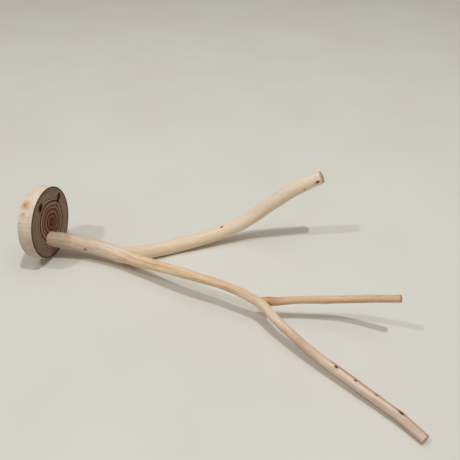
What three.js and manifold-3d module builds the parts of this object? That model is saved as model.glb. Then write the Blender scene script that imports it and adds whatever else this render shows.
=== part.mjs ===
// A peeled branch on a wood-slice base, lying on its side.
//
// The base is a round slice sawn from a trunk. A forked branch with its bark off is butted against
// the slice's front face, off the middle, and one countersunk screw holds it from the back. The
// whole thing lies on the rim of the slice, on the belly of the thick limb and on the tip of the
// long twig. The branch grew as one piece and is parted here at its two forks.
//
// Working frame: millimetres, the slice's front face is the plane x = 0, +X runs from the slice
// towards the tips, the table is z = 0. The whole is then centred on its own footprint.

import * as THREE from "three";
import { mergeVertices } from "three/addons/utils/BufferGeometryUtils.js";
import Module from "manifold-3d";

const wasm = await Module();
wasm.setup();

// Driving dimensions.
const SLICE_RADIUS = 40;
const SLICE_THICKNESS = 15.4;
const SLICE_EDGE = 0.8; // worn chamfer round both faces
const SLICE_SIDES = 96;

const GAP = 0.3; // between two pieces that meet
const RING_STEP = 5; // spacing of the rings along a limb
const THICK_SIDES = 20;
const TWIG_SIDES = 16;

const SCREW_LENGTH = 30;
const SCREW_RADIUS = 1.75;
const SCREW_POINT = 4;
const SCREW_HEAD_RADIUS = 4;
const SCREW_HEAD_DEPTH = 2.4;
const SCREW_SIDES = 24;
const DRIVE_HALF_WIDTH = 0.45; // arm of the cross recess
const DRIVE_REACH = 2.1;
const DRIVE_DEPTH = 1.6;

// Each limb is a line of stations x, y, z, radius, from its root inside the fork to its sawn tip.
const TRUNK = [
  [0, -8.4, 24, 8.1],
  [12, -4.8, 21, 8.6],
  [32, -2.5, 17.7, 8.7],
  [56, -5, 16, 8.3],
  [74, -8, 15.2, 8.2],
  [84, -8.6, 14.4, 8.3],
];
const THICK_LIMB = [
  [66, -6.6, 15.5, 7.6],
  [78, -8.3, 14.9, 8],
  [89, -4.6, 12.7, 8.3],
  [98, 3.4, 9.8, 8.2],
  [111, 13.2, 8.05, 7.8],
  [131, 26, 7.85, 7.7],
  [157, 40.6, 10.4, 7.6],
  [184, 55.4, 16, 7.5],
  [208, 66.6, 27.2, 7.5],
  [234, 72.7, 49.3, 7.7],
  [257, 77.2, 67.2, 7.6],
  [284.5, 83.6, 82, 7],
];
const SLENDER_LIMB = [
  [68, -7.4, 15.2, 7],
  [86, -11.6, 15.2, 7.3],
  [104, -18, 16.8, 6.5],
  [124, -25.5, 20.2, 5.8],
  [163, -39.2, 26.2, 5],
  [204, -49.4, 26.7, 4.4],
  [226, -55.6, 24, 4.5],
  [241, -60.3, 20.2, 4.8],
  [247, -65.4, 18.9, 4.1],
];
const SHORT_TWIG = [
  [236, -58, 20.6, 3.4],
  [246, -55.8, 20.2, 3.8],
  [256, -54.6, 21.5, 3.7],
  [272, -53, 24.2, 3.6],
  [304, -48.6, 26.6, 3.7],
  [320, -48, 29.4, 3.7],
  [343, -51.4, 37.6, 3.6],
  [364.5, -56, 46, 3.5],
];
const LONG_TWIG = [
  [232, -56.8, 22.6, 4.3],
  [244, -62.8, 19.4, 4.5],
  [257.6, -76.2, 17.2, 4.4],
  [275.4, -90.2, 14, 4.3],
  [292.4, -102.7, 12, 4.2],
  [328.4, -126.5, 9.4, 4.1],
  [364.3, -149.8, 6, 4.1],
  [382.8, -164.6, 4.1, 4.1],
];

// Where the branch is parted: across the limb below each fork, then along the crotch.
const FIRST_FORK = {
  at: new THREE.Vector3(81, -9.2, 14.8),
  across: new THREE.Vector3(1, -0.1, -0.05).normalize(),
  crotch: new THREE.Vector3(-0.3, 1, -0.1).normalize(),
};
const SECOND_FORK = {
  at: new THREE.Vector3(242, -58.6, 20),
  across: new THREE.Vector3(1, -0.3, -0.15).normalize(),
  crotch: new THREE.Vector3(0.45, 1, 0.2).normalize(),
};

const COLOURS = {
  sliceWood: 0xc9ab86,
  peeledWood: 0xe6cba8,
  platedSteel: 0xb8b4a8,
};

// A closed geometry as a solid that can be cut and joined.
function solidOf(geometry) {
  const bare = geometry.clone();
  bare.deleteAttribute("normal");
  bare.deleteAttribute("uv");
  const merged = mergeVertices(bare, 1e-4);
  return new wasm.Manifold(
    new wasm.Mesh({
      numProp: 3,
      vertProperties: merged.getAttribute("position").array,
      triVerts: new Uint32Array(merged.index.array),
    }),
  );
}

function geometryOf(solid) {
  const mesh = solid.getMesh();
  const geometry = new THREE.BufferGeometry();
  geometry.setAttribute("position", new THREE.BufferAttribute(mesh.vertProperties, 3));
  geometry.setIndex(new THREE.BufferAttribute(mesh.triVerts, 1));
  geometry.computeVertexNormals();
  return geometry;
}

// A round limb of changing thickness along a smooth line, closed flat at both ends.
function limbGeometry(stations, sides) {
  const line = new THREE.CatmullRomCurve3(
    stations.map(([x, y, z]) => new THREE.Vector3(x, y, z)),
  );
  const thickness = new THREE.CatmullRomCurve3(
    stations.map(([, , , radius]) => new THREE.Vector3(radius, 0, 0)),
    false,
    "catmullrom",
  );
  const rings = Math.ceil(line.getLength() / RING_STEP);
  const positions = [];
  const faces = [];
  const side = new THREE.Vector3(0, 0, 1);
  const other = new THREE.Vector3();
  for (let ring = 0; ring <= rings; ring++) {
    const t = ring / rings;
    const centre = line.getPoint(t);
    const ahead = line.getTangent(t);
    const radius = thickness.getPoint(t).x;
    side.addScaledVector(ahead, -side.dot(ahead)).normalize();
    other.crossVectors(ahead, side);
    for (let k = 0; k < sides; k++) {
      const angle = (2 * Math.PI * k) / sides;
      const point = centre
        .clone()
        .addScaledVector(side, radius * Math.cos(angle))
        .addScaledVector(other, radius * Math.sin(angle));
      positions.push(...point);
    }
  }
  positions.push(...line.getPoint(0), ...line.getPoint(1));
  const root = (rings + 1) * sides;
  const tip = root + 1;
  for (let k = 0; k < sides; k++) {
    const next = (k + 1) % sides;
    for (let ring = 0; ring < rings; ring++) {
      const a = ring * sides + k;
      const b = ring * sides + next;
      faces.push(a, b, b + sides, a, b + sides, a + sides);
    }
    const last = rings * sides;
    faces.push(root, next, k);
    faces.push(tip, last + k, last + next);
  }
  const geometry = new THREE.BufferGeometry();
  geometry.setAttribute("position", new THREE.Float32BufferAttribute(positions, 3));
  geometry.setIndex(faces);
  return geometry;
}

// The part of a solid that lies beyond a plane, measured along the plane's direction.
function beyond(solid, direction, distance) {
  return solid.trimByPlane(direction.toArray(), distance);
}

// Parts a solid into what lies before and beyond a plane, with the gap between them.
function part(solid, point, direction) {
  const distance = point.dot(direction);
  const opposite = direction.clone().negate();
  return {
    beyond: beyond(solid, direction, distance + GAP / 2),
    before: beyond(solid, opposite, -distance + GAP / 2),
  };
}

// A solid of revolution about a line along X, its profile in distances along X and radii.
function turned(profile, sides, x, y, z) {
  const outline = profile.map(([along, radius]) => new THREE.Vector2(radius, along));
  const geometry = new THREE.LatheGeometry(outline, sides);
  geometry.rotateZ(-Math.PI / 2);
  geometry.translate(x, y, z);
  return solidOf(geometry);
}

function sliceBlank() {
  const rim = SLICE_RADIUS - SLICE_EDGE;
  const profile = [
    [0, 0],
    [0, rim],
    [SLICE_EDGE, SLICE_RADIUS],
    [SLICE_THICKNESS - SLICE_EDGE, SLICE_RADIUS],
    [SLICE_THICKNESS, rim],
    [SLICE_THICKNESS, 0],
  ];
  return turned(profile, SLICE_SIDES, -SLICE_THICKNESS, 0, SLICE_RADIUS);
}

// The screw's outline, grown all round by a clearance to make the hole that it sits in.
function screwBlank(clearance) {
  const shank = SCREW_RADIUS + clearance;
  const head = SCREW_HEAD_RADIUS + clearance;
  const behind = clearance > 0 ? -1 : 0; // the hole runs out through the back face
  const profile = [
    [behind, 0],
    [behind, head],
    [0, head],
    [SCREW_HEAD_DEPTH + clearance, shank],
    [SCREW_LENGTH - SCREW_POINT, shank],
    [SCREW_LENGTH + clearance, clearance],
    [SCREW_LENGTH + clearance, 0],
  ];
  if (clearance === 0) profile.splice(5, 2, [SCREW_LENGTH, 0]);
  if (behind === 0) profile.splice(1, 1);
  const [, y, z] = TRUNK[0];
  return turned(profile, SCREW_SIDES, -SLICE_THICKNESS, y, z);
}

function crossRecess() {
  const [, y, z] = TRUNK[0];
  const arm = new THREE.BoxGeometry(2 * DRIVE_DEPTH, 2 * DRIVE_REACH, 2 * DRIVE_HALF_WIDTH);
  const upright = arm.clone().rotateX(Math.PI / 2);
  arm.translate(-SLICE_THICKNESS, y, z);
  upright.translate(-SLICE_THICKNESS, y, z);
  return solidOf(arm).add(solidOf(upright));
}

function branchPieces() {
  const whole = solidOf(limbGeometry(TRUNK, THICK_SIDES))
    .add(solidOf(limbGeometry(THICK_LIMB, THICK_SIDES)))
    .add(solidOf(limbGeometry(SLENDER_LIMB, THICK_SIDES)))
    .add(solidOf(limbGeometry(SHORT_TWIG, TWIG_SIDES)))
    .add(solidOf(limbGeometry(LONG_TWIG, TWIG_SIDES)));
  const clearOfSlice = beyond(whole, new THREE.Vector3(1, 0, 0), GAP);
  const first = part(clearOfSlice, FIRST_FORK.at, FIRST_FORK.across);
  const limbs = part(first.beyond, FIRST_FORK.at, FIRST_FORK.crotch);
  const second = part(limbs.before, SECOND_FORK.at, SECOND_FORK.across);
  const twigs = part(second.beyond, SECOND_FORK.at, SECOND_FORK.crotch);
  return {
    trunk: first.before.subtract(screwBlank(GAP)),
    thick_limb: limbs.beyond,
    slender_limb: second.before,
    short_twig: twigs.beyond,
    long_twig: twigs.before,
  };
}

function namedMesh(name, solid, material) {
  const mesh = new THREE.Mesh(geometryOf(solid), material);
  mesh.name = name;
  return mesh;
}

function woodMaterial(colour) {
  return new THREE.MeshStandardMaterial({ color: colour, roughness: 0.7, metalness: 0 });
}

const lying = new THREE.Group();
const slice = sliceBlank().subtract(screwBlank(GAP));
lying.add(namedMesh("base_slice", slice, woodMaterial(COLOURS.sliceWood)));
for (const [name, solid] of Object.entries(branchPieces())) {
  lying.add(namedMesh(name, solid, woodMaterial(COLOURS.peeledWood)));
}
const steel = new THREE.MeshStandardMaterial({
  color: COLOURS.platedSteel,
  roughness: 0.35,
  metalness: 1,
});
lying.add(namedMesh("fixing_screw", screwBlank(0).subtract(crossRecess()), steel));

// The origin is the middle of the footprint, on the table.
const extent = new THREE.Box3().setFromObject(lying);
const middle = extent.getCenter(new THREE.Vector3());
lying.position.set(-middle.x, -middle.y, -extent.min.z);

const branchStand = new THREE.Group();
branchStand.name = "branch_stand";
branchStand.add(lying);

export default branchStand;
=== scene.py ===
"""A peeled, forked branch screwed to a round wood slice, lying on the slice's rim.

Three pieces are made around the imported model, each in its place:
  peeled_branch      the five lengths of the branch as one grown piece of wood
  wood_slice         the slice, its growth rings, knots and the hole for the screw
  countersunk_screw  the screw that holds the branch from the back of the slice
"""

import math

import bmesh
import bpy
import numpy as np
from mathutils import Euler, Matrix, Vector


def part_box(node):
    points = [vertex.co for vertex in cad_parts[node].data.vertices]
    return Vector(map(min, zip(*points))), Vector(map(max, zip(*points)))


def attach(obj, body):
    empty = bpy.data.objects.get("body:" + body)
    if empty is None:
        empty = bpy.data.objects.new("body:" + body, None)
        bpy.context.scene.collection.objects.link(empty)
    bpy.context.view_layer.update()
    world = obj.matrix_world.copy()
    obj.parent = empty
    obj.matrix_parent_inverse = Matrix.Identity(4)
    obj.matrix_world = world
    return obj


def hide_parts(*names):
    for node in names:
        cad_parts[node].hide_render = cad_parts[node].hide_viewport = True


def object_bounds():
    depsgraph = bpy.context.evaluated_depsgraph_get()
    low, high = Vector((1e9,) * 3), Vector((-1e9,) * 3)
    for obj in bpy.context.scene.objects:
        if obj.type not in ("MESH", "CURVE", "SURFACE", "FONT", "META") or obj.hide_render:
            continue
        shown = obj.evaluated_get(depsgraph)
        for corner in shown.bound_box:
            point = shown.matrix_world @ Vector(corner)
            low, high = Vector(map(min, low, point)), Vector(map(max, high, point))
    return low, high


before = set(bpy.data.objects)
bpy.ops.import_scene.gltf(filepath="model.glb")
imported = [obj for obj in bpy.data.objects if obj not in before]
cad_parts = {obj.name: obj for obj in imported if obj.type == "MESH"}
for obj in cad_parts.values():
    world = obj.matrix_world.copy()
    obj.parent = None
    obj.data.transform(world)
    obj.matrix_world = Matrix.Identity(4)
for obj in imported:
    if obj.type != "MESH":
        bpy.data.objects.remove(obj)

cad_low, cad_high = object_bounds()
slice_low, slice_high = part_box("base_slice")
screw_low, screw_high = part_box("fixing_screw")

MM = 0.001

# The bench frame: millimetres, with x out from the slice's front face, y from the slice's centre and
# z up from the table. Every shape below is drawn in it, and on_bench() takes it to the model's frame.
SLICE_RADIUS = (slice_high.z - slice_low.z) / 2 / MM
SLICE_THICKNESS = (slice_high.x - slice_low.x) / MM
BENCH_ORIGIN = np.array([slice_high.x, (slice_low.y + slice_high.y) / 2, 0.0])
SCREW_Y = ((screw_low.y + screw_high.y) / 2 - BENCH_ORIGIN[1]) / MM
SCREW_Z = (screw_low.z + screw_high.z) / 2 / MM
SCREW_LENGTH = (screw_high.x - screw_low.x) / MM
SCREW_HEAD_RADIUS = (screw_high.z - screw_low.z) / 2 / MM


def on_bench(points):
    """Bench millimetres to the model's metres."""
    return np.asarray(points, float) * MM + BENCH_ORIGIN


def unit(vectors):
    return vectors / np.maximum(np.linalg.norm(vectors, axis=-1, keepdims=True), 1e-9)


# ---- Nodes and colours ----

# The sockets of a Mix node that take and give colours.
MIX_A, MIX_B, MIX_COLOUR = 6, 7, 2

GRAIN_ROUGHNESS = 0.55


def colour(code):
    """An sRGB hex colour as the linear colour that shaders and lamps take."""
    values = [int(code[i : i + 2], 16) / 255 for i in (1, 3, 5)]
    linear = [v / 12.92 if v <= 0.04045 else ((v + 0.055) / 1.055) ** 2.4 for v in values]
    return (*linear, 1.0)


def add(tree, kind, inputs=(), output=0, stops=(), **settings):
    """Adds a node with its settings, inputs (values or sockets) and a ramp's stops, and gives an output."""
    node = tree.nodes.new(kind)
    for name, value in settings.items():
        setattr(node, name, value)
    for name, value in inputs.items() if isinstance(inputs, dict) else enumerate(inputs):
        if isinstance(value, bpy.types.NodeSocket):
            tree.links.new(value, node.inputs[name])
        else:
            node.inputs[name].default_value = value
    for _ in stops[2:]:
        node.color_ramp.elements.new(0.5)
    for (position, shade), element in zip(stops, node.color_ramp.elements if stops else ()):
        element.position = position
        element.color = colour(shade)
    return node.outputs[output] if node.outputs else node


def stain(tree, tone, shade, mask, start, full, strength=1.0):
    """Lays a shade over a tone: none where the mask is at its start, full strength where that is full."""
    span = (mask, start, full, 0.0, strength)
    share = add(tree, "ShaderNodeMapRange", span, interpolation_type="SMOOTHSTEP")
    inputs = {0: share, MIX_A: tone, MIX_B: colour(shade)}
    return add(tree, "ShaderNodeMix", inputs, MIX_COLOUR, data_type="RGBA")


def grains(tree, places, sizes, detail, seed):
    """Noise whose grains have these sizes along the three axes, in the unit of the places."""
    scale = tuple(1 / size for size in sizes)
    inputs = {"Vector": places, "Location": (seed, seed, seed), "Scale": scale}
    placed = add(tree, "ShaderNodeMapping", inputs)
    noise = {"Vector": placed, "Scale": 1.0, "Detail": detail, "Roughness": GRAIN_ROUGHNESS}
    return add(tree, "ShaderNodeTexNoise", noise)


def new_object(name, data):
    """A new object, linked into the scene."""
    made = bpy.data.objects.new(name, data)
    bpy.context.scene.collection.objects.link(made)
    return made


def new_material(name):
    """A node material with only its shader and output left in it."""
    material = bpy.data.materials.new(name)
    material.use_nodes = True
    return material, material.node_tree, material.node_tree.nodes["Principled BSDF"]


def set_shader(tree, shader, tone, roughness, height, lift, constants):
    """Joins the tone, roughness and relief to the shader, and sets its constants on its own sockets."""
    for name, value in constants.items():
        shader.inputs[name].default_value = value
    relief = add(tree, "ShaderNodeBump", {"Strength": 1.0, "Distance": lift, "Height": height})
    tree.links.new(tone, shader.inputs["Base Color"])
    tree.links.new(roughness, shader.inputs["Roughness"])
    tree.links.new(relief, shader.inputs["Normal"])


def spot(tree, position, centre, turn, size):
    """How far each place is from a spot, as a share of the spot's own size: 1 all round its edge."""
    inputs = {"Vector": position, "Location": centre, "Rotation": turn, "Scale": size}
    local = add(tree, "ShaderNodeMapping", inputs, vector_type="TEXTURE")
    return add(tree, "ShaderNodeVectorMath", (local,), "Value", operation="LENGTH")


def nearest_spot(tree, position, spots, ragged, wobble):
    """The same for the nearest of several spots, with edges made ragged by some noise."""
    nearest = spot(tree, position, *spots[0])
    for each in spots[1:]:
        nearest = add(tree, "ShaderNodeMath", (nearest, spot(tree, position, *each)), operation="MINIMUM")
    return add(tree, "ShaderNodeMath", (ragged, wobble, nearest), operation="MULTIPLY_ADD")


# ---- The branch's lines of growth ----

# Stations along each line, in bench millimetres: x, y, z and the wood's radius there. The leader runs
# from behind the slice's face, where it is cut off, through both forks to the long twig's tip; the
# thick limb and the short twig are the shoots that leave it.
LEADER = (
    (-9, -11, 26.2, 7.9),
    (0, -8.4, 24, 8.1),
    (12, -4.8, 21, 8.6),
    (32, -2.5, 17.7, 8.7),
    (56, -5, 16, 8.3),
    (74, -8, 15.2, 8.2),
    (86, -11.6, 15.2, 7.3),
    (104, -18, 16.8, 6.5),
    (124, -25.5, 20.2, 5.8),
    (163, -39.2, 26.2, 5),
    (204, -49.4, 26.7, 4.4),
    (226, -55.6, 24, 4.5),
    (241, -60.9, 20.4, 4.8),
    (257.6, -76.2, 17.2, 4.4),
    (275.4, -90.2, 14, 4.3),
    (292.4, -102.7, 12, 4.2),
    (328.4, -126.5, 9.4, 4.1),
    (364.3, -149.8, 6, 4.1),
    (382.8, -164.6, 4.1, 4.1),
)
THICK_LIMB = (
    (66, -6.6, 15.3, 6.4),
    (78, -8.2, 13.8, 8),
    (88, -5.4, 12, 9.2),
    (98, 2.8, 9.9, 8.5),
    (111, 13.2, 8.05, 7.8),
    (131, 26, 7.85, 7.7),
    (157, 40.6, 10.4, 7.6),
    (184, 55.4, 16, 7.5),
    (208, 66.6, 27.2, 7.5),
    (234, 72.7, 49.3, 7.7),
    (257, 77.2, 67.2, 7.6),
    (283.2, 83.3, 81.3, 7),
)
SHORT_TWIG = (
    (236, -58.4, 20.6, 3.8),
    (246, -56, 20.4, 4.5),
    (256, -54.8, 21.3, 4),
    (264, -53.8, 22.7, 3.7),
    (272, -53, 24.2, 3.6),
    (304, -48.6, 26.6, 3.7),
    (320, -48, 29.4, 3.7),
    (343, -51.4, 37.6, 3.6),
    (364.5, -56, 46, 3.5),
)

# Bud scars: how far along x, the turn round the wood in degrees from its top towards the near side,
# and the scar's half length and half width.
LEADER_SCARS = (
    (41.7, 83, 1.3, 0.9),
    (313, 7, 1.6, 1.0),
    (328.7, 0, 1.2, 0.8),
    (345, -4, 1.0, 0.6),
    (363.6, -20, 2.3, 1.3),
    (305, 190, 1.2, 0.8),
    (337, 175, 1.3, 0.8),
    (178, 200, 1.2, 0.8),
)
THICK_LIMB_SCARS = (
    (180, 6, 1.5, 0.9),
    (264.8, 99, 0.9, 0.6),
    (278.3, 85, 1.9, 1.2),
    (222, -110, 1.5, 1.0),
)
SHORT_TWIG_SCARS = (
    (300, 170, 1.1, 0.7),
    (338, -80, 1.1, 0.7),
)

# Round each scar the wood swells, and the scar is a pit in a low lip. The swell's height and length are
# in millimetres and its turn in radians; the lip and the pit are in shares of the scar's size.
NODE_SWELL, NODE_LENGTH, NODE_TURN = 0.22, 6, 1.3
LIP_HEIGHT, LIP_PLACE, LIP_WIDTH = 0.16, 1.7, 0.6
PIT_DEPTH = 0.55

# Swells and ripples: height as a share of the radius, then the longest and shortest waves.
SWELLS = (0.026, 85, 24)
RIPPLES = (0.009, 16, 6)
RIPPLE_SEED = 50

LINE_STEP = 1.5
FORK_EASE = 1.1
CUT_EASE = 1.2

# The thick limb was sawn off at a slant: the way its cut faces, and how far past the line's end it lies.
SLANT_WAY = (0.87, 0.05, 0.49)
SLANT_PAST = 1.2
BUTT_SINK = 0.25
VOXEL = 0.68
SWEEP_SIDES = 24
FITTING_ROUNDS = 5


def smooth_line(stations):
    """Close points on a centripetal Catmull-Rom curve through the stations."""
    ends = np.array(stations, float)
    ends = np.vstack([2 * ends[0] - ends[1], ends, 2 * ends[-1] - ends[-2]])
    lengths = []
    for before, start, stop, after in zip(ends, ends[1:], ends[2:], ends[3:]):
        pairs = ((before, start), (start, stop), (stop, after))
        gaps = [np.linalg.norm((b - a)[:3]) ** 0.5 for a, b in pairs]
        steady = (stop - start) / gaps[1]
        leaving = (start - before) / gaps[0] - (stop - before) / (gaps[0] + gaps[1]) + steady
        arriving = steady - (after - start) / (gaps[1] + gaps[2]) + (after - stop) / gaps[2]
        count = math.ceil(np.linalg.norm((stop - start)[:3]) / LINE_STEP)
        t = (np.arange(count) / count)[:, None]
        lengths.append(
            (2 * t**3 - 3 * t**2 + 1) * start
            + (t**3 - 2 * t**2 + t) * gaps[1] * leaving
            + (3 * t**2 - 2 * t**3) * stop
            + (t**3 - t**2) * gaps[1] * arriving
        )
    return np.vstack([*lengths, ends[-2:-1]])


class Waves:
    """Low, smooth, random swells over a length of wood: a sum of slow waves along it and round it."""

    def __init__(self, seed, height, longest, shortest, count=9):
        rng = np.random.default_rng(seed)
        self.lobes = rng.integers(1, 6, count)
        self.pace = 2 * math.pi / rng.uniform(shortest, longest, count) * rng.choice((-1, 1), count)
        self.phase = rng.uniform(0, 2 * math.pi, count)
        self.height = height / np.sqrt(self.lobes * count)

    def at(self, run, angle):
        total = np.zeros_like(run)
        for lobes, pace, phase, height in zip(self.lobes, self.pace, self.phase, self.height):
            total += height * np.cos(lobes * angle + pace * run + phase)
        return total


class Shoot:
    """One line of growth: its centre line, its radius and the directions across it."""

    def __init__(self, stations, scars, seed, cut_way=None, cut_past=0.0):
        line = smooth_line(stations)
        self.points = line[:, :3]
        self.girth = line[:, 3]
        steps = np.linalg.norm(np.diff(self.points, axis=0), axis=1)
        self.run = np.concatenate([[0.0], np.cumsum(steps)])
        self.length = self.run[-1]
        self.along = unit(np.gradient(self.points, self.run, axis=0))
        self.side = unit(np.cross(self.along, (0.0, 0.0, 1.0)))
        self.up = np.cross(self.side, self.along)
        self.cut_way = unit(np.array(cut_way or self.along[-1]))
        self.cut_place = self.points[-1] + cut_past * self.along[-1]
        self.swells = Waves(seed, *SWELLS)
        self.ripples = Waves(seed + RIPPLE_SEED, *RIPPLES)
        self.scars = [self.place_scar(*scar) for scar in scars]

    def place_scar(self, reach, turn, half_length, half_width):
        """A scar by its run along the shoot and its angle round it."""
        run = np.interp(reach, self.points[:, 0], self.run)
        return run, math.radians(turn), half_length, half_width

    def at(self, run, values):
        """A value that is known at each point of the line, at any run along it."""
        if values.ndim == 1:
            return np.interp(run, self.run, values)
        return np.stack([np.interp(run, self.run, column) for column in values.T], -1)

    def locate(self, places):
        """The run, the offsets to the side and up, and the length past the tip or before the root."""
        reach = (places**2).sum(1)[:, None] - 2 * places @ self.points.T + (self.points**2).sum(1)
        nearest = reach.argmin(1)
        ahead = ((places - self.points[nearest]) * self.along[nearest]).sum(1)
        run = self.run[nearest] + ahead
        offset = places - self.at(run, self.points)
        sideways = (offset * self.at(run, self.side)).sum(1)
        upward = (offset * self.at(run, self.up)).sum(1)
        return run, sideways, upward

    def radius(self, run, angle):
        """The wood's radius: girth, slow swells, small ripples, and the pits and lips of its bud scars."""
        girth = self.at(run, self.girth)
        radius = girth * (1 + self.swells.at(run, angle) + self.ripples.at(run, angle))
        for scar_run, scar_turn, half_length, half_width in self.scars:
            turn = (angle - scar_turn + math.pi) % (2 * math.pi) - math.pi
            gap = np.hypot((run - scar_run) / half_length, turn * girth / half_width)
            node = np.exp(-(((run - scar_run) / NODE_LENGTH) ** 2) - (turn / NODE_TURN) ** 2)
            lip = np.exp(-(((gap - LIP_PLACE) / LIP_WIDTH) ** 2))
            pit = np.clip(1 - gap**2, 0, 1)
            radius += NODE_SWELL * node + LIP_HEIGHT * half_width * lip - PIT_DEPTH * half_width * pit
        return radius

    def scar_spots(self):
        """Each scar's centre, turn and half sizes in the model's frame, for the material."""
        spots = []
        for run, turn, half_length, half_width in self.scars:
            along, side, up = (self.at(np.array([run]), v)[0] for v in (self.along, self.side, self.up))
            outward = math.sin(turn) * side + math.cos(turn) * up
            centre = self.at(np.array([run]), self.points)[0] + self.at(run, self.girth) * outward
            axes = Matrix([along, np.cross(outward, along), outward]).transposed()
            size = (half_length * MM, half_width * MM, 2.0 * MM)
            spots.append((tuple(on_bench(centre)), tuple(axes.to_euler()), size))
        return spots


leader = Shoot(LEADER, LEADER_SCARS, seed=11)
thick_limb = Shoot(THICK_LIMB, THICK_LIMB_SCARS, seed=23, cut_way=SLANT_WAY, cut_past=SLANT_PAST)
short_twig = Shoot(SHORT_TWIG, SHORT_TWIG_SCARS, seed=37)
SHOOTS = (leader, thick_limb, short_twig)


def shoot_skin(shoot, places):
    """How far each place is outside one shoot, and the way out."""
    run, sideways, upward = shoot.locate(places)
    angle = np.arctan2(sideways, upward)
    spoke = unit(
        shoot.at(run, shoot.side) * sideways[:, None] + shoot.at(run, shoot.up) * upward[:, None]
    )
    across = np.hypot(sideways, upward)
    before = np.minimum(run, 0.0)
    if shoot is leader:
        outside = across - shoot.radius(run, angle)
        way_out = spoke
    else:
        outside = np.hypot(across, before) - shoot.radius(run, angle)
        way_out = unit(spoke * across[:, None] + shoot.along[0] * before[:, None])
    near_tip = run > shoot.length / 2
    past_cut = np.where(near_tip, (places - shoot.cut_place) @ shoot.cut_way, run - shoot.length)
    return eased(outside, way_out, past_cut, shoot.cut_way, CUT_EASE, keep_outer=True)


def eased(first, first_way, second, second_way, ease, keep_outer):
    """The outer or the inner of two skins, with the edge between them eased."""
    sign = 1.0 if keep_outer else -1.0
    share = np.clip(0.5 + 0.5 * sign * (first - second) / ease, 0, 1)
    value = first * share + second * (1 - share) + sign * ease * share * (1 - share)
    way = unit(first_way * share[:, None] + second_way * (1 - share)[:, None])
    return value, way


def branch_skin(places):
    """How far each place is outside the whole branch, and the way out."""
    outside, way_out = shoot_skin(leader, places)
    for shoot in SHOOTS[1:]:
        other, other_way = shoot_skin(shoot, places)
        outside, way_out = eased(outside, way_out, other, other_way, FORK_EASE, keep_outer=False)
    return outside, way_out


# ---- Geometry Nodes: the swept branch and the screw's thread ----

SOCKET_KINDS = {"Sides": "NodeSocketInt", "Material": "NodeSocketMaterial"}


def new_tree(name, inputs):
    """A geometry tree with named inputs, and the identifiers by which a modifier sets them."""
    tree = bpy.data.node_groups.new(name, "GeometryNodeTree")
    tree.interface.new_socket("Geometry", in_out="INPUT", socket_type="NodeSocketGeometry")
    identifiers = {}
    for label in inputs:
        kind = SOCKET_KINDS.get(label, "NodeSocketFloat")
        identifiers[label] = tree.interface.new_socket(label, in_out="INPUT", socket_type=kind).identifier
    tree.interface.new_socket("Geometry", in_out="OUTPUT", socket_type="NodeSocketGeometry")
    return tree, identifiers, tree.nodes.new("NodeGroupInput").outputs


def end_tree(tree, geometry, material):
    """The end of every tree: real geometry, with its material."""
    real = add(tree, "GeometryNodeRealizeInstances", {"Geometry": geometry})
    dressed = add(tree, "GeometryNodeSetMaterial", {"Geometry": real, "Material": material})
    add(tree, "NodeGroupOutput", {"Geometry": dressed})


def grow(mesh, tree, identifiers, values):
    """The plain mesh that a tree makes of a mesh."""
    holder = new_object("holder", mesh)
    modifier = holder.modifiers.new("grow", "NODES")
    modifier.node_group = tree
    for label, value in values.items():
        modifier[identifiers[label]] = value
    depsgraph = bpy.context.evaluated_depsgraph_get()
    grown = bpy.data.meshes.new_from_object(holder.evaluated_get(depsgraph))
    holder.modifiers.remove(modifier)
    bpy.data.objects.remove(holder)
    return grown


def sweep_tree():
    """Sweeps a round section along each line, scaled by its girth, and joins the limbs into one skin."""
    tree, identifiers, given = new_tree("swept_limbs", ("Sides", "Voxel", "Material"))
    lines = add(tree, "GeometryNodeMeshToCurve", {"Mesh": given["Geometry"]})
    section = add(tree, "GeometryNodeCurvePrimitiveCircle", {"Resolution": given["Sides"], "Radius": 1.0})
    girth = add(tree, "GeometryNodeInputNamedAttribute", {"Name": "girth"})
    path = {"Curve": lines, "Profile Curve": section, "Scale": girth, "Fill Caps": True}
    limbs = add(tree, "GeometryNodeCurveToMesh", path)
    field = add(tree, "GeometryNodeMeshToSDFGrid", {"Mesh": limbs, "Voxel Size": given["Voxel"]})
    skin = add(tree, "GeometryNodeGridToMesh", {"Grid": field, "Threshold": 0.0})
    end_tree(tree, skin, given["Material"])
    return tree, identifiers


def thread_tree():
    """Winds a sharp ridge round the screw's shank, and adds it to the shank."""
    labels = ("Sides", "Turns", "Core", "Height", "Ridge", "Start", "Material")
    tree, identifiers, given = new_tree("screw_thread", labels)
    spiral = {
        "Resolution": given["Sides"],
        "Rotations": given["Turns"],
        "Start Radius": given["Core"],
        "End Radius": given["Core"],
        "Height": given["Height"],
    }
    helix = add(tree, "GeometryNodeCurveSpiral", spiral)
    section = add(tree, "GeometryNodeCurvePrimitiveCircle", {"Resolution": 4, "Radius": given["Ridge"]})
    path = {"Curve": helix, "Profile Curve": section, "Fill Caps": True}
    ridge = add(tree, "GeometryNodeCurveToMesh", path)
    lift = add(tree, "ShaderNodeCombineXYZ", {"Z": given["Start"]})
    placed = add(tree, "GeometryNodeTransform", {"Geometry": ridge, "Translation": lift})
    joined = add(tree, "GeometryNodeJoinGeometry", {"Geometry": given["Geometry"]})
    tree.links.new(placed, joined.node.inputs["Geometry"])
    end_tree(tree, joined, given["Material"])
    return tree, identifiers


# ---- Meshes and pieces ----


def corners(mesh):
    """A mesh's vertices as an array."""
    flat = np.empty(len(mesh.vertices) * 3, np.float32)
    mesh.vertices.foreach_get("co", flat)
    return flat.reshape(-1, 3).astype(float)


def move_corners(mesh, places):
    mesh.vertices.foreach_set("co", np.asarray(places, np.float32).ravel())
    mesh.update()


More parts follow.
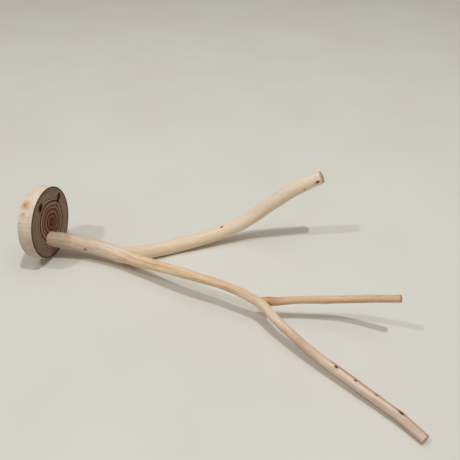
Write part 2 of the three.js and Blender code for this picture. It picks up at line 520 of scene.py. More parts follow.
def keep_value(mesh, name, values):
    """Stores a number or a vector on each vertex, for the material to read."""
    values = np.asarray(values, np.float32)
    vector = values.ndim == 2
    attribute = mesh.attributes.new(name, "FLOAT_VECTOR" if vector else "FLOAT", "POINT")
    attribute.data.foreach_set("vector" if vector else "value", values.ravel())


def add_piece(name, mesh, material, slot, *nodes):
    """One finished piece: on the part's body, with its material, standing for its CAD nodes; the slot is not
    used.
    """
    mesh.name = name
    mesh.materials.clear()
    mesh.materials.append(material)
    mesh.shade_smooth()
    piece = new_object(name, mesh)
    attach(piece, "root")
    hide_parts(*nodes)
    return piece


def cut_away(mesh, cutter):
    """The mesh less the cutter's space."""
    body = new_object("body", mesh)
    tool = new_object("tool", cutter)
    modifier = body.modifiers.new("cut", "BOOLEAN")
    modifier.operation = "DIFFERENCE"
    modifier.solver = "EXACT"
    modifier.object = tool
    depsgraph = bpy.context.evaluated_depsgraph_get()
    made = bpy.data.meshes.new_from_object(body.evaluated_get(depsgraph))
    bpy.data.objects.remove(body)
    bpy.data.objects.remove(tool)
    return made


def turned_mesh(name, profile, sides):
    """A closed solid of revolution about the x axis, from (x, radius) pairs that start and end on it."""
    inner = profile[1:-1]
    angles = np.arange(sides) * 2 * math.pi / sides
    rings = [(x, r * math.cos(a), r * math.sin(a)) for x, r in inner for a in angles]
    places = [(profile[0][0], 0.0, 0.0), *rings, (profile[-1][0], 0.0, 0.0)]
    faces = []
    for k in range(sides):
        following = (k + 1) % sides
        faces.append((0, 1 + k, 1 + following))
        for row in range(len(inner) - 1):
            here, there = 1 + row * sides, 1 + (row + 1) * sides
            faces.append((here + k, there + k, there + following, here + following))
        last = 1 + (len(inner) - 1) * sides
        faces.append((last + following, last + k, len(places) - 1))
    mesh = bpy.data.meshes.new(name)
    mesh.from_pydata(places, [], faces)
    return facing_out(mesh)


SAME_PLACE = 1e-7


def facing_out(mesh):
    """The mesh with its doubles merged and its faces turned outwards."""
    shell = bmesh.new()
    shell.from_mesh(mesh)
    bmesh.ops.remove_doubles(shell, verts=shell.verts, dist=SAME_PLACE)
    bmesh.ops.recalc_face_normals(shell, faces=shell.faces)
    shell.to_mesh(mesh)
    shell.free()
    return mesh


# ---- The peeled branch ----

SHORT_TWIG_RUN = 600.0
CREASE_REACH = 1.3
CREASE_START = 0.75
ROOT_REACH = 5.0
SHARE_REACH = 0.8
TIP_REACH = 20.0


def raw_branch(material):
    """The limbs' lines as a wire of edges, swept and joined into one rough skin."""
    places = []
    edges = []
    girths = []
    for shoot in SHOOTS:
        first = len(places)
        places.extend(on_bench(shoot.points))
        girths.extend(shoot.girth * MM)
        edges.extend((first + k, first + k + 1) for k in range(len(shoot.points) - 1))
    wire = bpy.data.meshes.new("limb_lines")
    wire.from_pydata([tuple(p) for p in places], edges, [])
    keep_value(wire, "girth", girths)
    tree, identifiers = sweep_tree()
    values = {"Sides": SWEEP_SIDES, "Voxel": VOXEL * MM, "Material": material}
    return grow(wire, tree, identifiers, values)


def cut_butt(mesh):
    """Cuts the mesh off flat where the branch meets the slice, and closes it there."""
    shell = bmesh.new()
    shell.from_mesh(mesh)
    everything = [*shell.verts, *shell.edges, *shell.faces]
    plane = on_bench((-BUTT_SINK, 0, 0))
    bmesh.ops.bisect_plane(shell, geom=everything, plane_co=plane, plane_no=(-1, 0, 0), clear_outer=True)
    rim = [edge for edge in shell.edges if edge.is_boundary]
    for edge in rim:
        edge.smooth = False
    bmesh.ops.edgeloop_fill(shell, edges=rim)
    bmesh.ops.recalc_face_normals(shell, faces=shell.faces)
    shell.to_mesh(mesh)
    shell.free()


def grain_of(shoot, places, run_offset=0.0):
    """Each place in the shoot's own wood: offsets to the side and up, and the run along it."""
    run, sideways, upward = shoot.locate(places)
    return np.stack([sideways, upward, np.clip(run, -ROOT_REACH, shoot.length) + run_offset], -1)


def make_branch(material):
    """The branch: the swept skin fitted to the wood's true surface, with its grain kept for the material."""
    mesh = raw_branch(material)
    places = (corners(mesh) - BENCH_ORIGIN) / MM
    for _ in range(FITTING_ROUNDS):
        outside, way_out = branch_skin(places)
        places -= outside[:, None] * way_out
    places[:, 2] = np.maximum(places[:, 2], 0.0)
    move_corners(mesh, on_bench(places))
    cut_butt(mesh)

    places = (corners(mesh) - BENCH_ORIGIN) / MM
    (leader_out, leader_way), (thick_out, thick_way), (short_out, short_way) = (
        shoot_skin(shoot, places) for shoot in SHOOTS
    )
    on_thick = (thick_out < short_out)[:, None]
    side_out = np.minimum(thick_out, short_out)
    side_way = np.where(on_thick, thick_way, short_way)
    # Where the limbs meet in a hollow crease: the mask for the painted shade there.
    meeting = np.clip(CREASE_START - (side_way * leader_way).sum(1), 0, 1)
    closeness = np.exp(-np.clip(np.maximum(side_out, leader_out), 0, None) / CREASE_REACH)
    thick_grain = grain_of(thick_limb, places)
    short_grain = grain_of(short_twig, places, SHORT_TWIG_RUN)
    keep_value(mesh, "leader_grain", grain_of(leader, places))
    keep_value(mesh, "side_grain", np.where(on_thick, thick_grain, short_grain))
    keep_value(mesh, "side_share", 1 / (1 + np.exp((side_out - leader_out) / SHARE_REACH)))
    keep_value(mesh, "crease_shade", meeting * closeness)
    to_tips = [(shoot.cut_place - places) @ shoot.cut_way for shoot in SHOOTS]
    nearest = np.argmin([leader_out, thick_out, short_out], axis=0)
    keep_value(mesh, "to_tip", np.clip(np.choose(nearest, to_tips), 0, TIP_REACH))
    nodes = ("trunk", "thick_limb", "slender_limb", "short_twig", "long_twig")
    return add_piece("peeled_branch", mesh, material, "peeled_wood", *nodes)


# The leader's tone by its share of the way along: pinkish trunk, yellow slender limb, greyer pink long twig.
LEADER_TONES = (
    # The first stop is the trunk's own tone, deepened by painted shade where the slice shadows the root.
    (0.02, "#CDB398"),
    (0.12, "#DFC8AF"),
    (0.20, "#F0D8C0"),
    (0.26, "#EFD1A8"),
    (0.46, "#EACA9E"),
    (0.58, "#E9CCAB"),
    (0.65, "#EACFB2"),
    (0.72, "#D6B79C"),
    (0.80, "#F0D9C2"),
    (1.0, "#D8C2AC"),
)

# The thick limb is cream all along; the short twig, kept further on, is tan, and orange where it leaves
# the fork.
SIDE_RUN = SHORT_TWIG_RUN + short_twig.length
TWIG_ROOT = SHORT_TWIG_RUN / SIDE_RUN
SIDE_TONES = (
    (0.0, "#ECCFAF"),
    (0.10, "#F2D9BA"),
    (0.35, "#F4E0C4"),
    (TWIG_ROOT - 0.05, "#F4E0C4"),
    (TWIG_ROOT, "#D2A169"),
    (TWIG_ROOT + 14 / SIDE_RUN, "#C9935A"),
    (TWIG_ROOT + 28 / SIDE_RUN, "#E4BE99"),
    (1.0, "#E0BB94"),
)

# The run along the leader, in millimetres, past which the long twig keeps a strip of inner bark, and
# the way that strip faces: far side and up.
STRIP_RUN = 300.0
STRIP_WAY = (-0.75, 0.66, 0.0)
TIP_RING = 1.15
FAINT = 0.4
SIDE_SEED = 7.0


def peeled_wood():
    """Peeled branch wood, dry and unvarnished: smooth and matt, with long pink and pale streaks."""
    material, tree, shader = new_material("peeled_softwood")
    position = add(tree, "ShaderNodeTexCoord", output="Object")
    leader_grain, side_grain = (
        add(tree, "ShaderNodeAttribute", output="Vector", attribute_name=name)
        for name in ("leader_grain", "side_grain")
    )
    side_share, crease_shade, to_tip = (
        add(tree, "ShaderNodeAttribute", output="Fac", attribute_name=name)
        for name in ("side_share", "crease_shade", "to_tip")
    )

    def streaks(across, along, detail, seed):
        """Noise drawn out along the wood, in millimetres, on the leader and on the side shoots' own grain."""
        sizes = (across, across, along)
        on_leader = grains(tree, leader_grain, sizes, detail, seed)
        on_side = grains(tree, side_grain, sizes, detail, seed + SIDE_SEED)
        return add(tree, "ShaderNodeMix", {"Factor": side_share, "A": on_leader, "B": on_side})

    leader_run = add(tree, "ShaderNodeSeparateXYZ", (leader_grain,), "Z")
    leader_way = add(tree, "ShaderNodeMath", (leader_run, leader.length), operation="DIVIDE")
    leader_tone = add(tree, "ShaderNodeValToRGB", (leader_way,), stops=LEADER_TONES)
    side_run = add(tree, "ShaderNodeSeparateXYZ", (side_grain,), "Z")
    side_way = add(tree, "ShaderNodeMath", (side_run, SIDE_RUN), operation="DIVIDE")
    side_tone = add(tree, "ShaderNodeValToRGB", (side_way,), stops=SIDE_TONES)
    tones = {0: side_share, MIX_A: leader_tone, MIX_B: side_tone}
    tone = add(tree, "ShaderNodeMix", tones, MIX_COLOUR, data_type="RGBA")

    plain_tone = tone

    # Broad bands a few millimetres wide, where the inner bark left the wood pinker or paler.
    bands = streaks(3.0, 42, 2.0, 1.0)
    tone = stain(tree, tone, "#D2A084", bands, start=0.50, full=0.70, strength=0.55)
    tone = stain(tree, tone, "#F6EAD4", bands, start=0.48, full=0.28, strength=0.55)

    # The strip of inner bark down the far side of the long twig, broken up lengthways.
    facing = add(tree, "ShaderNodeVectorMath", (leader_grain, STRIP_WAY), "Value", operation="DOT_PRODUCT")
    started = add(tree, "ShaderNodeMapRange", (leader_run, STRIP_RUN, STRIP_RUN + 50, -12.0, 0.0))
    strip = add(tree, "ShaderNodeMath", (streaks(1.6, 30, 2.0, 3.0), 4.0, facing), operation="MULTIPLY_ADD")
    strip = add(tree, "ShaderNodeMath", (strip, started), operation="ADD")
    leader_share = add(tree, "ShaderNodeMath", (1.0, side_share), operation="SUBTRACT")
    strip = add(tree, "ShaderNodeMath", (strip, leader_share), operation="MULTIPLY")
    tone = stain(tree, tone, "#B48A6E", strip, start=4.2, full=5.6, strength=0.75)

    # Fibre streaks about a millimetre wide, and the finest that the eye can follow.
    fibres = streaks(0.95, 23, 3.0, 4.0)
    tone = stain(tree, tone, "#BB8660", fibres, start=0.51, full=0.72, strength=0.6)
    fine = streaks(0.28, 8.4, 2.0, 9.0)
    tone = stain(tree, tone, "#AE7D58", fine, start=0.54, full=0.78, strength=0.4)

    # Short flecks of bark that stayed in the hollows.
    flecks = streaks(0.8, 4, 2.0, 15.0)
    tone = stain(tree, tone, "#96603C", flecks, start=0.66, full=0.78, strength=0.6)

    # The thick limb was peeled cleanest: its streaks are faint.
    side_vivid = add(tree, "ShaderNodeMapRange", (side_run, SHORT_TWIG_RUN - 50, SHORT_TWIG_RUN, FAINT, 1.0))
    vivid = add(tree, "ShaderNodeMix", {"Factor": side_share, "A": 1.0, "B": side_vivid})
    streaked = {0: vivid, MIX_A: plain_tone, MIX_B: tone}
    tone = add(tree, "ShaderNodeMix", streaked, MIX_COLOUR, data_type="RGBA")

    # The crease of each fork is painted dark brown: painted shade where the limbs meet.
    tone = stain(tree, tone, "#85552E", crease_shade, start=0.08, full=0.6, strength=0.85)

    # Sawn tips: end grain, darker, with the year rings and the pith, and the cut's bruised edge.
    flat_leader = add(tree, "ShaderNodeVectorMath", (leader_grain, (1, 1, 0)), operation="MULTIPLY")
    flat_side = add(tree, "ShaderNodeVectorMath", (side_grain, (1, 1, 0)), operation="MULTIPLY")
    from_leader = add(tree, "ShaderNodeVectorMath", (flat_leader,), "Value", operation="LENGTH")
    from_side = add(tree, "ShaderNodeVectorMath", (flat_side,), "Value", operation="LENGTH")
    from_pith = add(tree, "ShaderNodeMix", {"Factor": side_share, "A": from_leader, "B": from_side})
    uneven = streaks(2.0, 2.0, 2.0, 21.0)
    wobbled = add(tree, "ShaderNodeMath", (uneven, 0.9, from_pith), operation="MULTIPLY_ADD")
    ring = add(tree, "ShaderNodeMath", (wobbled, TIP_RING), operation="FLOORED_MODULO")
    end_tone = stain(tree, colour("#D3AF82"), "#96683F", ring, start=0.5, full=1.1, strength=0.7)
    end_tone = stain(tree, end_tone, "#5C3620", from_pith, start=0.9, full=0.35)
    tone = stain(tree, tone, "#8A6243", to_tip, start=1.5, full=0.7, strength=0.45)
    sawn = add(tree, "ShaderNodeMapRange", (to_tip, 0.6, 0.2), interpolation_type="SMOOTHSTEP")
    tips = {0: sawn, MIX_A: tone, MIX_B: end_tone}
    tone = add(tree, "ShaderNodeMix", tips, MIX_COLOUR, data_type="RGBA")

    # Bud scars: a dark, dry pit with a red-brown edge.
    spots = [spot_at for shoot in SHOOTS for spot_at in shoot.scar_spots()]
    ragged = grains(tree, position, (1.1 * MM,) * 3, 2.0, 0.0)
    scar = nearest_spot(tree, position, spots, ragged, 0.7)
    tone = stain(tree, tone, "#A9704A", scar, start=2.4, full=1.25, strength=0.8)
    tone = stain(tree, tone, "#321409", scar, start=1.35, full=0.95)

    roughness = add(tree, "ShaderNodeMapRange", (fibres, 0.3, 0.75, 0.52, 0.68))
    ridges = add(tree, "ShaderNodeMath", (fine, 0.35, fibres), operation="MULTIPLY_ADD")
    constants = {"IOR": 1.5, "Specular IOR Level": 0.3}
    set_shader(tree, shader, tone, roughness, ridges, 0.22 * MM, constants)
    return material


# ---- The wood slice ----

PITH_Y = 1.4
RING_RADII = (0, 5.2, 10.4, 15.6, 19.2, 24.8, 27.8, 30.4, 32.8, 35, 37.2, 39.4, 42, 45)
EDGE_WEAR = 1.0
FACE_STEP = 0.5
RIM_STEP = 0.8
SLICE_SIDES = 384

# Knots and small cracks on the face: y and z from the slice's centre, half length, half width, and the
# turn of the long way in degrees from +y.
FACE_KNOTS = (
    (-12.2, 26.6, 4.4, 3.1, 38),
    (25.4, 17.6, 3.9, 3.0, 35),
    (21.6, 14.9, 3.6, 1.2, 35),
)
FACE_CRACKS = (
    (-18.9, -23.2, 3.4, 0.42, 66),
    (-4.5, -7.8, 3.0, 0.30, 60),
    (-12.2, 26.6, 5.2, 0.35, 52),
    (24.6, 17.0, 6.4, 0.35, 36),
)
BACK_KNOTS = ((-17, -20, 3.2, 2.2, 50),)
BACK_CRACKS = ((6, 11, 6.5, 0.35, 62), (-14, 5, 5.5, 0.3, 160))

# Knots that come out on the rim: the angle round it from +y, millimetres behind the face, half length
# along the rim's grain and half width round it.
RIM_KNOTS = ((120.7, 11.0, 3.2, 3.4), (134.5, 10.2, 1.3, 1.1), (236, 6.0, 2.2, 2.0), (20, 8.0, 2.6, 2.4))

# The year rings' outline: rows of height as a share of the radius, waves round it, and their phase; then
# rows with a twist for each millimetre out instead of a phase.
RING_LOBES = ((0.022, 2, -0.9), (0.016, 3, 1.9), (0.010, 5, 0.6))
RING_RIPPLES = ((0.006, 9, 0.3), (0.004, 14, -0.2))

# The rings bend round the right knot: by what share of the radius, at which turn and over what turn in
# radians, from which radius and over what length the bend grows.
BEND, BEND_TURN, BEND_SPREAD, BEND_FROM, BEND_RISE = 0.075, math.radians(36), 0.20, 12, 8

# Heights and depths on the faces and the clearance of the screw's hole, in millimetres.
RING_HEIGHT = 0.07
KNOT_LIP = 0.07
KNOT_DEPTH = 0.6
CRACK_DEPTH = 0.45
HOLE_CLEARANCE = 0.15
HOLE_SIDES = 48

# The share of the face's swells that is kept, the turn in radians over which the rim stays round where it
# rests, and where the rim's material starts as a share of the radius.
UNEVENNESS = 0.3
FOOT_TURN = 0.35
RIM_SHARE = 0.99

# The rim's fine grooves: half their depth in millimetres, then rows of their number round the rim, how far
# each sways in radians and over what length.
GROOVE_HEIGHT = 0.05
RIM_GROOVES = ((61, 0.8, 5), (97, 0.5, 3))

# Waves this long don't vary across the slice's thickness, only round it.
ENDLESS = 1e9
outline_waves = Waves(5, 0.010, ENDLESS, ENDLESS, count=7)
face_waves = Waves(8, 0.10, 30, 12)


def slice_profile():
    """Half the slice's section as rows of x and radius, out from the face's middle and in to the back's."""
    flat = SLICE_RADIUS - EDGE_WEAR
    back = -SLICE_THICKNESS
    front = [(0.0, r) for r in np.arange(FACE_STEP, flat, FACE_STEP)]
    turns = np.radians(np.linspace(0, 90, 6))
    edge = [(EDGE_WEAR * (math.cos(t) - 1), flat + EDGE_WEAR * math.sin(t)) for t in turns]
    rim_places = np.arange(EDGE_WEAR + RIM_STEP, SLICE_THICKNESS - EDGE_WEAR, RIM_STEP)
    rim = [(-x, SLICE_RADIUS) for x in rim_places]
    far_edge = [(back - x, r) for x, r in reversed(edge)]
    rear = [(back, r) for r in np.arange(flat - FACE_STEP, FACE_STEP, -FACE_STEP * 1.4)]
    return [(0.0, 0.0), *front, *edge, *rim, *far_edge, *rear, (back, 0.0)]


def spot_share(y, z, knot):
    """The distance from a knot or crack on the face, as a share of its own size."""
    centre_y, centre_z, half_length, half_width, turn = knot
    lean = math.radians(turn)
    along = (y - centre_y) * math.cos(lean) + (z - centre_z) * math.sin(lean)
    across = (z - centre_z) * math.cos(lean) - (y - centre_y) * math.sin(lean)
    return np.hypot(along / half_length, across / half_width)


def ring_count(y, z):
    """How many year rings lie inside each place. They aren't quite round, and bend round the right knot."""
    out_y = y - PITH_Y
    radius = np.hypot(out_y, z)
    angle = np.arctan2(z, out_y)
    lobes = sum(share * np.cos(waves * angle + phase) for share, waves, phase in RING_LOBES)
    fine = sum(share * np.cos(waves * angle + twist * radius) for share, waves, twist in RING_RIPPLES)
    knot_turn = (angle - BEND_TURN + math.pi) % (2 * math.pi) - math.pi
    bend = BEND * np.exp(-((knot_turn / BEND_SPREAD) ** 2)) * np.clip((radius - BEND_FROM) / BEND_RISE, 0, 1)
    grown = radius * (1 + lobes * np.clip(radius / 10, 0, 1) + fine - bend)
    return np.interp(grown, RING_RADII, np.arange(len(RING_RADII)))


def rounded_slice():
    """The slice's mesh on the bench, before its hole: knots sunk, year rings standing a little proud."""
    mesh = turned_mesh("wood_slice", slice_profile(), SLICE_SIDES)
    places = corners(mesh)
    x, y, z = places.T
    radius = np.hypot(y, z)
    angle = np.arctan2(z, y)
    out = np.clip(radius / SLICE_RADIUS, 0, 1) ** 2

    # The rim follows the tree's own outline, never outside the CAD round, so it still rests on the table.
    dip = outline_waves.at(np.zeros_like(angle), angle)
    resting = np.exp(-(((angle + math.pi / 2) / FOOT_TURN) ** 2))
    dip = (dip - dip.max()) * (1 - resting)
    grooves = sum(
        GROOVE_HEIGHT * np.cos(count * angle + sway * np.sin(x / length))
        for count, sway, length in RIM_GROOVES
    )
    off_face = (x < -EDGE_WEAR / 2) & (x > EDGE_WEAR / 2 - SLICE_THICKNESS)
    on_rim = (radius > SLICE_RADIUS - EDGE_WEAR / 2) & off_face
    cut_in = (grooves - 2 * GROOVE_HEIGHT) / SLICE_RADIUS
    shrink = 1 + dip * out + np.where(on_rim, cut_in, 0) * (1 - resting)
    y, z = y * shrink, z * shrink

    front = (x > -EDGE_WEAR) & ~on_rim
    rear = (x < EDGE_WEAR - SLICE_THICKNESS) & ~on_rim
    late = 0.5 - 0.5 * np.cos(2 * math.pi * ring_count(y, z))
    flat_part = np.clip((SLICE_RADIUS - 0.5 - radius) / 2, 0, 1)
    rings = RING_HEIGHT * late**2 - RING_HEIGHT
    relief = (rings + face_waves.at(radius, angle) * UNEVENNESS) * flat_part
    for knots, side in ((FACE_KNOTS, front), (BACK_KNOTS, rear)):
        for knot in knots:
            share = spot_share(y, z, knot)
            sink = np.exp(-((share / 0.8) ** 4))
            rise = np.exp(-(((share - 1.35) / 0.3) ** 2))
            relief = relief + np.where(side, KNOT_LIP * rise - KNOT_DEPTH * sink, 0)
    for cracks, side in ((FACE_CRACKS, front), (BACK_CRACKS, rear)):
        for crack in cracks:
            opening = np.clip(1 - spot_share(y, z, crack) ** 2, 0, 1)
            relief = relief - np.where(side, CRACK_DEPTH * opening, 0)
    x = x + np.where(front, relief, 0) - np.where(rear, relief, 0)
    move_corners(mesh, np.stack([x, y, z + SLICE_RADIUS], -1))
    return mesh


def screw_space():
    """The space that the screw takes from the slice: a countersink and a clearance hole, past both faces."""
    back = -SLICE_THICKNESS
    profile = (
        (back - 1, 0),
        (back - 1, SCREW_HEAD_RADIUS + HOLE_CLEARANCE),
        (back + HEAD_RIM, SCREW_HEAD_RADIUS + HOLE_CLEARANCE),
        (back + HEAD_DEPTH, SHANK_RADIUS + HOLE_CLEARANCE),
        (2, SHANK_RADIUS + HOLE_CLEARANCE),
        (2, 0),
    )
    mesh = turned_mesh("screw_space", profile, HOLE_SIDES)
    move_corners(mesh, corners(mesh) + (0, SCREW_Y, SCREW_Z))
    return mesh


def make_slice(material):
    """The slice: turned, worn, knotted and drilled, with its year rings kept for the material."""
    mesh = cut_away(rounded_slice(), screw_space())
    places = corners(mesh)
    x, y, z = places[:, 0], places[:, 1], places[:, 2] - SLICE_RADIUS
    radius = np.hypot(y, z)
    keep_value(mesh, "year", ring_count(y, z))
    keep_value(mesh, "ray", np.stack([y / np.maximum(radius, 0.5), z / np.maximum(radius, 0.5), radius], -1))
    from_edge = np.minimum(-x, x + SLICE_THICKNESS)
    near_rim = np.clip(radius - SLICE_RADIUS * RIM_SHARE + EDGE_WEAR, 0, 2)
    keep_value(mesh, "rim", near_rim + np.minimum(from_edge, 1))
    move_corners(mesh, on_bench(places))
    return add_piece("wood_slice", mesh, material, "slice_wood", "base_slice")


def face_spots(marks, x):
    """Knots or cracks on one face, as spots for the material."""
    spots = []
    for y, z, half_length, half_width, turn in marks:
        centre = tuple(on_bench((x, y, z + SLICE_RADIUS)))
        size = (4 * MM, half_length * MM, half_width * MM)
        spots.append((centre, (math.radians(turn), 0, 0), size))
    return spots


def rim_spots():
    """Knots that come out on the rim, as spots for the material."""
    spots = []
    for angle, behind, half_length, half_width in RIM_KNOTS:
        turn = math.radians(angle)
        y, z = SLICE_RADIUS * math.cos(turn), SLICE_RADIUS * math.sin(turn)
        centre = tuple(on_bench((-behind, y, z + SLICE_RADIUS)))
        spots.append((centre, (turn, 0, 0), (half_length * MM, 3 * MM, half_width * MM)))
    return spots


# One year's growth by its share of the year: a pale start, a thin false ring, then the dark late wood.
YEAR_SHADES = (
    (0.0, "#6A6A6A"),
    (0.06, "#000000"),
    (0.28, "#101010"),
    (0.38, "#909090"),
    (0.46, "#202020"),
    (0.62, "#A0A0A0"),
    (0.76, "#FFFFFF"),
    (0.96, "#FFFFFF"),
)

# The face's tone by the count of years: a red-brown heart, then greyer sapwood.
YEARS = 11.5
PITH_SIZE = 1.3
BARK_LINE_START = 2.6
BARK_LINE_FULL = 1.4
FACE_TONES = (
    (0.0, "#70391F"),
    (0.08, "#85502F"),
    (0.20, "#946A4D"),
    (0.36, "#A07F67"),
    (0.52, "#A98E7A"),
    (0.85, "#98806D"),
    (1.0, "#917661"),
)


def slice_wood():
    """A sanded softwood slice: dark end grain with darker year rings, and a pale rim under the lost bark."""
    material, tree, shader = new_material("sawn_softwood_slice")
    position = add(tree, "ShaderNodeTexCoord", output="Object")
    year = add(tree, "ShaderNodeAttribute", output="Fac", attribute_name="year")
    ray = add(tree, "ShaderNodeAttribute", output="Vector", attribute_name="ray")
    rim = add(tree, "ShaderNodeAttribute", output="Fac", attribute_name="rim")

    def specks(size, detail, seed):
        """Noise whose grains are this many millimetres wide."""
        return grains(tree, position, (size * MM,) * 3, detail, seed)

    # Each year starts pale and ends in a dark band with a sharp outer edge. The inner years have strong
    # bands; those under the bark are fine and faint.
    cloud = specks(9, 2.0, 0.3)
    wavering = add(tree, "ShaderNodeMath", (specks(2.6, 3.0, 1.1), 0.18, year), operation="MULTIPLY_ADD")
    part = add(tree, "ShaderNodeMath", (wavering,), operation="FRACT")
    late = add(tree, "ShaderNodeValToRGB", (part,), stops=YEAR_SHADES)
    strength = add(tree, "ShaderNodeMapRange", (year, 5.1, 6.8, 1.0, 0.65))
    patches = add(tree, "ShaderNodeMapRange", (cloud, 0.25, 0.65, 0.8, 1.0))
    banding = add(tree, "ShaderNodeMath", (strength, patches), operation="MULTIPLY")
    darkness = add(tree, "ShaderNodeMath", (late, banding), operation="MULTIPLY")
    age = add(tree, "ShaderNodeMath", (year, YEARS), operation="DIVIDE")
    face = add(tree, "ShaderNodeValToRGB", (age,), stops=FACE_TONES)
    face = stain(tree, face, "#30100A", darkness, start=0.0, full=1.0)

    # Rays run out from the pith, and the sanding left the pores full of dust.
    rays = grains(tree, ray, (0.018, 0.018, 6.2), 2.0, 0.0)
    face = stain(tree, face, "#B99C84", rays, start=0.5, full=0.75, strength=0.3)
    pores = specks(0.45, 2.0, 3.7)
    face = stain(tree, face, "#46291B", pores, start=0.52, full=0.75, strength=0.4)
    pith_place = tuple(on_bench((0, PITH_Y, SLICE_RADIUS)))
    pith = spot(tree, position, pith_place, (0, 0, 0), (1, PITH_SIZE * MM, PITH_SIZE * MM))
    face = stain(tree, face, "#3A1A0C", pith, start=1.1, full=0.6, strength=0.8)

    # A thin dark line just inside the edge, where the bark's last layer was.
    radius = add(tree, "ShaderNodeSeparateXYZ", (ray,), "Z")
    line_start, line_full = SLICE_RADIUS - BARK_LINE_START, SLICE_RADIUS - BARK_LINE_FULL
    face = stain(tree, face, "#38241A", radius, line_start, line_full, strength=0.85)

    # Dead knots: nearly black hearts with a red-brown edge, and the cracks that opened as the slice dried,
    # painted near-black as painted shade inside them.
    back = -SLICE_THICKNESS
    ragged = specks(1.6, 3.0, 5.0)
    knot_spots = face_spots(FACE_KNOTS, 0) + face_spots(BACK_KNOTS, back)
    knots = nearest_spot(tree, position, knot_spots, ragged, 0.5)
    face = stain(tree, face, "#4E1A0C", knots, start=1.8, full=1.15, strength=0.85)
    face = stain(tree, face, "#1E0704", knots, start=1.2, full=0.85)
    crack_spots = face_spots(FACE_CRACKS, 0) + face_spots(BACK_CRACKS, back)
    cracks = nearest_spot(tree, position, crack_spots, ragged, 0.5)
    face = stain(tree, face, "#1A0804", cracks, start=1.5, full=0.9, strength=0.9)

    # The rim: pale sapwood that lay under the bark, streaked along the tree's grain and greyer low down, with
    # orange-brown stains where small knots come out.
    grain = grains(tree, position, (14 * MM, 1.1 * MM, 1.1 * MM), 3.0, 0.0)
    side = stain(tree, colour("#EEDFCB"), "#E2CBB0", cloud, start=0.3, full=0.7)
    side = stain(tree, side, "#BE9873", grain, start=0.50, full=0.72, strength=0.45)
    side = stain(tree, side, "#F8EEDC", grain, start=0.45, full=0.25, strength=0.5)
    height_up = add(tree, "ShaderNodeSeparateXYZ", (position,), "Z")
    side = stain(tree, side, "#A58F7B", height_up, start=64 * MM, full=44 * MM, strength=0.33)
    rim_knots = nearest_spot(tree, position, rim_spots(), specks(2.2, 3.0, 7.0), 0.8)
    side = stain(tree, side, "#D9985A", rim_knots, start=2.6, full=0.7, strength=0.8)
    side = stain(tree, side, "#A0683A", rim_knots, start=1.3, full=0.4, strength=0.5)

    on_rim = add(tree, "ShaderNodeMapRange", (rim, 0.75, 1.25), interpolation_type="SMOOTHSTEP")
    surfaces = {0: on_rim, MIX_A: face, MIX_B: side}
    tone = add(tree, "ShaderNodeMix", surfaces, MIX_COLOUR, data_type="RGBA")
    roughness = add(tree, "ShaderNodeMapRange", (on_rim, 0.0, 1.0, 0.78, 0.62))
    saw = grains(tree, position, (17 * MM, 17 * MM, 0.7 * MM), 2.0, 2.0)
    face_height = add(tree, "ShaderNodeMath", (darkness, 0.7, pores), operation="MULTIPLY_ADD")
    face_height = add(tree, "ShaderNodeMath", (saw, 0.5, face_height), operation="MULTIPLY_ADD")
    height = add(tree, "ShaderNodeMix", {"Factor": on_rim, "A": face_height, "B": grain})
    constants = {"IOR": 1.5, "Specular IOR Level": 0.1}
    set_shader(tree, shader, tone, roughness, height, 0.25 * MM, constants)
    return material


# ---- The screw ----

SHANK_RADIUS = 1.75
CORE_RADIUS = 1.3
HEAD_RIM = 0.35
HEAD_DEPTH = 2.6
POINT_LENGTH = 4.0
THREAD_START = 8.0
THREAD_PITCH = 1.6
THREAD_RIDGE = 0.42
RECESS_DEPTH = 1.9
RECESS_REACH = 2.1
RECESS_WIDTH = 0.85
RECESS_CORNER = 0.62
SCREW_SIDES = 64
THREAD_SIDES = 28
SHARP_TURN = 35


def screw_blank():
    """The screw without its recess: head, plain shank, core and point, along x from its head."""
    profile = (
        (0, 0),
        (0, SCREW_HEAD_RADIUS - 0.15),
        (0.12, SCREW_HEAD_RADIUS - 0.03),
        (HEAD_RIM, SCREW_HEAD_RADIUS - 0.02),
        (HEAD_DEPTH - 0.3, SHANK_RADIUS + 0.2),
        (HEAD_DEPTH + 0.3, SHANK_RADIUS - 0.15),
        (THREAD_START, SHANK_RADIUS - 0.15),
        (THREAD_START + 0.6, CORE_RADIUS),
        (SCREW_LENGTH - POINT_LENGTH, CORE_RADIUS),
        (SCREW_LENGTH - 0.1, 0.12),
        (SCREW_LENGTH, 0),
    )
    return turned_mesh("screw_blank", profile, SCREW_SIDES)


def cross_recess():
    """A cross-shaped tapered punch: a square star that narrows to a point inside the head."""
    half = RECESS_WIDTH / 2
    inner = RECESS_WIDTH * RECESS_CORNER
    outline = []
    for quarter in range(4):
        turn = math.radians(90 * quarter)
        for across, out in ((half, RECESS_REACH), (-half, RECESS_REACH), (-inner, inner)):
            y = across * math.cos(turn) - out * math.sin(turn)
            z = across * math.sin(turn) + out * math.cos(turn)
            outline.append((y, z))
    flat = len(outline)
    rings = [(-0.5, 1.0), (RECESS_DEPTH * 0.5, 0.82), (RECESS_DEPTH, 0.35)]
    places = [(x, y * scale, z * scale) for x, scale in rings for y, z in outline]
    faces = [tuple(range(flat)), tuple(range(len(places) - flat, len(places)))]
    for row in range(len(rings) - 1):
        for k in range(flat):
            following = (k + 1) % flat
            here, there = row * flat, (row + 1) * flat
            faces.append((here + k, here + following, there + following, there + k))
    mesh = bpy.data.meshes.new("cross_recess")
    mesh.from_pydata(places, [], faces)
    return facing_out(mesh)


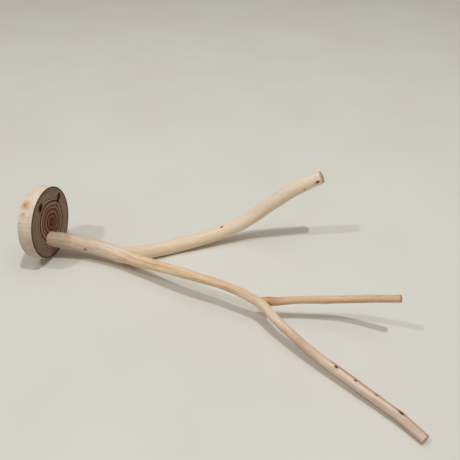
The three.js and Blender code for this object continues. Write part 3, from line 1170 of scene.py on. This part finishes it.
def make_screw(material):
    """The screw: turned, punched with its cross recess, then threaded, and set in from the slice's back."""
    blank = cut_away(screw_blank(), cross_recess())
    upright = Euler((0, math.radians(-90), 0)).to_matrix().to_4x4()
    blank.transform(upright)
    blank.transform(Matrix.Scale(MM, 4))
    tree, identifiers = thread_tree()
    thread_length = SCREW_LENGTH - POINT_LENGTH - THREAD_START
    values = {
        "Sides": THREAD_SIDES,
        "Turns": thread_length / THREAD_PITCH,
        "Core": (SHANK_RADIUS - THREAD_RIDGE) * MM,
        "Height": thread_length * MM,
        "Ridge": THREAD_RIDGE * MM,
        "Start": (THREAD_START + 0.4) * MM,
        "Material": material,
    }
    mesh = grow(blank, tree, identifiers, values)
    mesh.transform(upright.inverted())
    seat = on_bench((-SLICE_THICKNESS, SCREW_Y, SCREW_Z))
    mesh.transform(Matrix.Translation(Vector(seat)))
    piece = add_piece("countersunk_screw", mesh, material, "screw_steel", "fixing_screw")
    mesh.set_sharp_from_angle(angle=math.radians(SHARP_TURN))
    return piece


def zinc_plated_steel():
    """Zinc-plated steel: bright, slightly blue, and a little blotched where the plating dulled."""
    material, tree, shader = new_material("zinc_plated_steel")
    position = add(tree, "ShaderNodeTexCoord", output="Object")
    blotches = grains(tree, position, (1.5 * MM,) * 3, 3.0, 0.0)
    tone = stain(tree, colour("#C9CACB"), "#A7A49B", blotches, start=0.35, full=0.7)
    scratches = grains(tree, position, (0.2 * MM,) * 3, 2.0, 4.0)
    roughness = add(tree, "ShaderNodeMapRange", (scratches, 0.3, 0.7, 0.28, 0.42))
    set_shader(tree, shader, tone, roughness, scratches, 0.02 * MM, {"Metallic": 1.0})
    return material


# ---- Studio ----

CAMERA_PLACE = (279.4, -409.2, 360.8)
CAMERA_PITCH = 36.0
CAMERA_AZIMUTH = 11.17
CAMERA_LENS = 40.0
CAMERA_SENSOR = 36.0
FLOOR_HALF = 12.0
WORLD_TINT = "#EBE6E0"
WORLD_STRENGTH = 0.30

# Two small lamps and the wide, soft light of the ceiling, all well above the table: place on the bench,
# width in metres, power in watts and colour.
LAMPS = (
    ("high_lamp", (633, -303, 2465), 0.09, 20.1, "#EDF8FF"),
    ("left_lamp", (-1214, -774, 2465), 0.09, 15.2, "#EDF3FF"),
    ("ceiling", (184, 0, 2465), 3.0, 24.0, "#EBE6E0"),
)


def pale_paint():
    """Matt off-white table paint, faintly uneven."""
    material, tree, shader = new_material("pale_floor")
    position = add(tree, "ShaderNodeTexCoord", output="Object")
    cloud = grains(tree, position, (0.17, 0.17, 0.17), 2.0, 0.0)
    tone = stain(tree, colour("#E2DED3"), "#DFDACE", cloud, start=0.3, full=0.7)
    tree.links.new(tone, shader.inputs["Base Color"])
    shader.inputs["Roughness"].default_value = 0.7
    shader.inputs["Specular IOR Level"].default_value = 0.2
    return material


def make_floor():
    mesh = bpy.data.meshes.new("floor")
    corner_signs = ((-1, -1), (1, -1), (1, 1), (-1, 1))
    places = [(x * FLOOR_HALF, y * FLOOR_HALF, 0.0) for x, y in corner_signs]
    mesh.from_pydata(places, [], [(0, 1, 2, 3)])
    mesh.materials.append(pale_paint())
    new_object("floor", mesh)


def make_lights():
    target = (cad_low + cad_high) / 2
    for name, place, width, power, tint in LAMPS:
        lamp = bpy.data.lights.new(name, "AREA")
        lamp.shape = "DISK"
        lamp.size = width
        lamp.energy = power
        lamp.color = colour(tint)[:3]
        holder = new_object(name, lamp)
        holder.location = on_bench(place)
        holder.rotation_euler = (target - holder.location).to_track_quat("-Z", "Y").to_euler()
    world = bpy.data.worlds.new("studio")
    world.use_nodes = True
    background = world.node_tree.nodes["Background"].inputs
    background["Color"].default_value = colour(WORLD_TINT)
    background["Strength"].default_value = WORLD_STRENGTH
    bpy.context.scene.world = world


def make_camera():
    camera = bpy.data.cameras.new("camera")
    camera.lens = CAMERA_LENS
    camera.sensor_width = CAMERA_SENSOR
    camera.clip_start = 0.01
    holder = new_object("camera", camera)
    holder.location = on_bench(CAMERA_PLACE)
    holder.rotation_euler = (math.radians(90 - CAMERA_PITCH), 0, math.radians(CAMERA_AZIMUTH))
    bpy.context.scene.camera = holder
    bpy.context.scene.view_settings.view_transform = "Standard"


make_camera()
make_lights()
make_floor()
make_branch(peeled_wood())
make_slice(slice_wood())
make_screw(zinc_plated_steel())
